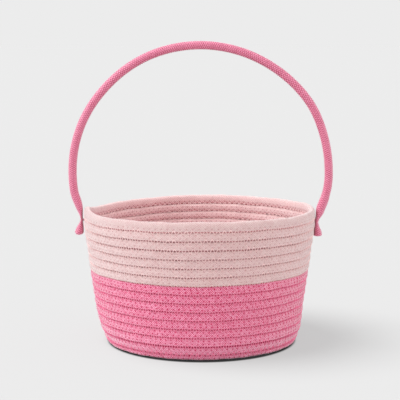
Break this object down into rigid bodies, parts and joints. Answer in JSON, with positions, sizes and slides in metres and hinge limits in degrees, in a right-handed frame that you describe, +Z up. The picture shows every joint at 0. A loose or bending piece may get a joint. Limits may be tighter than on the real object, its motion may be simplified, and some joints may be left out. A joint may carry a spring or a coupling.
{
  "type": "easter basket",
  "caption": "Round two-tone basket of coiled cotton rope with a stiff rope arch handle that swings on its two sewn ends, for carrying eggs and sweets.",
  "frame": {"origin": "centre of the underside, on the surface the basket stands on", "axes": "+Z up through the middle of the basket, +X towards the handle's right tack, -Y towards the viewer"},
  "size_m": [0.2616, 0.2286, 0.2961],
  "materials": {
    "hot_pink_rope": "soft cotton rope",
    "pale_pink_rope": "soft cotton rope",
    "hot_pink_thread": "sewing thread",
    "pale_pink_thread": "sewing thread",
    "handle_rope": "braided cotton rope",
    "core_wire": "plain wire, hidden"
  },
  "bodies": {
    "basket": {"base_coil": "hot_pink_rope", "wall_turn_01": "hot_pink_rope", "wall_turn_02": "hot_pink_rope", "wall_turn_03": "hot_pink_rope", "wall_turn_04": "hot_pink_rope", "wall_turn_05": "hot_pink_rope", "wall_turn_06": "hot_pink_rope", "wall_turn_07": "hot_pink_rope", "wall_turn_08": "hot_pink_rope", "wall_turn_09": "hot_pink_rope", "wall_turn_10": "pale_pink_rope", "wall_turn_11": "pale_pink_rope", "wall_turn_12": "pale_pink_rope", "wall_turn_13": "pale_pink_rope", "wall_turn_14": "pale_pink_rope", "wall_turn_15": "pale_pink_rope", "rim_turn": "pale_pink_rope", "base_stitching": "hot_pink_thread", "lower_stitching": "hot_pink_thread", "upper_stitching": "pale_pink_thread", "tack_left": "hot_pink_thread", "tack_right": "hot_pink_thread"},
    "handle": {"handle_rope": "handle_rope", "handle_core": "core_wire"}
  },
  "joints": [
    {"name": "handle_swing", "type": "hinge", "parent": "basket", "child": "handle", "pos_m": [0, 0, 0.1192], "axis": [1, 0, 0], "range_deg": [-80, 80]}
  ]
}
